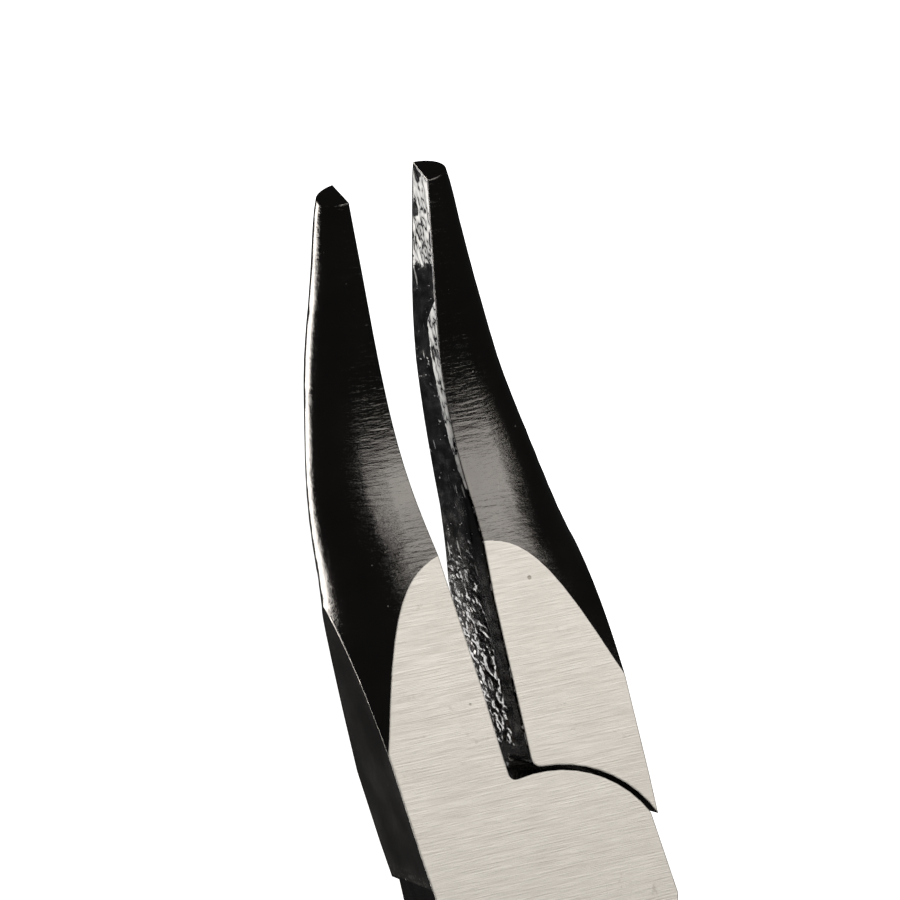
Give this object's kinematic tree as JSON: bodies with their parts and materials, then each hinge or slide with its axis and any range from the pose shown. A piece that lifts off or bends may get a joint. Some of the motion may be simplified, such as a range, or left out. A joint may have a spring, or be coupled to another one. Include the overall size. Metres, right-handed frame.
{
  "type": "bent long-nose pliers",
  "caption": "Hand pliers with a long bent half-round nose, a flush lap joint and padded grips, for gripping and looping wire.",
  "frame": {"origin": "on the rivet's axis, in the head's back flat", "axes": "+Z along the rivet's axis from the back flat to the front flat, which is the side the nose bends to; +Y from the rivet to the jaw tips, midway between the jaws; +X to the right seen from the front"},
  "size_m": [0.0564, 0.16, 0.0188],
  "materials": {
    "black_steel": "ground and black-oxide coated, with bare cross-ground flats on the head",
    "bare_steel": "bare, cross ground",
    "grip_hard": "fine spark texture",
    "grip_soft": "soft matte, moulded grooves"
  },
  "bodies": {
    "front_half": {"front_lever": "black_steel", "pivot_rivet": "bare_steel", "front_grip_core": "grip_hard", "front_outer_pad": "grip_soft", "front_inner_pad": "grip_soft"},
    "rear_half": {"rear_lever": "black_steel", "rear_grip_core": "grip_hard", "rear_outer_pad": "grip_soft", "rear_inner_pad": "grip_soft"}
  },
  "joints": [
    {"name": "pivot", "type": "hinge", "parent": "front_half", "child": "rear_half", "pos_m": [0, 0, 0.0045], "axis": [0, 0, -1], "range_deg": [-6.4, 39.6]}
  ]
}
